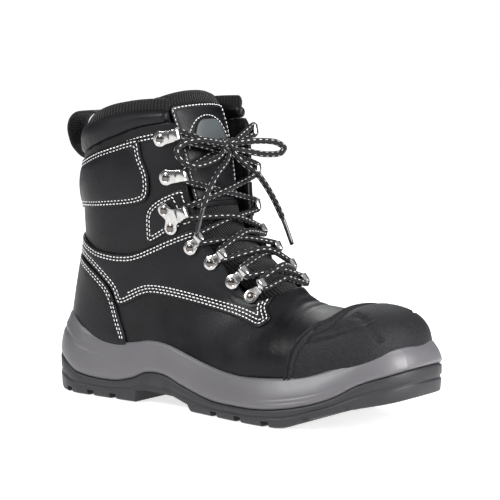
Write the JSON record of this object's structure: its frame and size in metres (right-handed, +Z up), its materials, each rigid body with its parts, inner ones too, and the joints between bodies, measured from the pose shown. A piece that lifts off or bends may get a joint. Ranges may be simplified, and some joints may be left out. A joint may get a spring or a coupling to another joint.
{
  "type": "zip safety boot",
  "caption": "Black leather ankle work boot with a moulded toe cap, laced front with metal hooks and loops, padded collar, a zip on the inner side and a lugged sole.",
  "frame": {"origin": "on the floor, under the middle of the heel tread", "axes": "+X to the toe, +Y to the inner (zip) side, +Z up"},
  "size_m": [0.312, 0.1135, 0.223],
  "materials": {
    "leather": "satin, slightly creased",
    "moulded": "fine pebble grain, matt",
    "lining": "ribbed mesh",
    "webbing": "woven",
    "lace": "round braid with pale flecks",
    "foam": "satin, smooth",
    "rubber": "matt, lugged",
    "nickel": "bright nickel plate"
  },
  "bodies": {
    "boot": {"outsole": "rubber", "midsole": "foam", "insole": "lining", "upper": "leather", "counter": "leather", "quarter": "leather", "ankle_pad": "leather", "cleat_patch_lateral": "leather", "cleat_patch_medial": "leather", "toe_cap": "moulded", "collar": "leather", "collar_lining": "lining", "pull_loop": "webbing", "tongue": "lining", "tongue_patch": "leather", "tongue_badge": "moulded", "lace_bars": "lace", "lace_knot": "lace", "lace_loop_left": "lace", "lace_loop_right": "lace", "lace_end_left": "lace", "lace_end_right": "lace", "zip_tape": "webbing", "zip_slider": "nickel", "hook_1_lateral": "nickel", "hook_2_lateral": "nickel", "cleat_3_lateral": "nickel", "loop_4_lateral": "nickel", "loop_5_lateral": "nickel", "loop_6_lateral": "nickel", "loop_7_lateral": "nickel", "hook_1_medial": "nickel", "hook_2_medial": "nickel", "cleat_3_medial": "nickel", "loop_4_medial": "nickel", "loop_5_medial": "nickel", "loop_6_medial": "nickel", "loop_7_medial": "nickel"},
    "pull_tab": {"zip_pull": "nickel"}
  },
  "joints": [
    {"name": "zip_pull_hinge", "type": "hinge", "parent": "boot", "child": "pull_tab", "pos_m": [0.03987, 0.05188, 0.17767], "axis": [0.9986, 0.0067, -0.0525], "range_deg": [0, 150]}
  ]
}
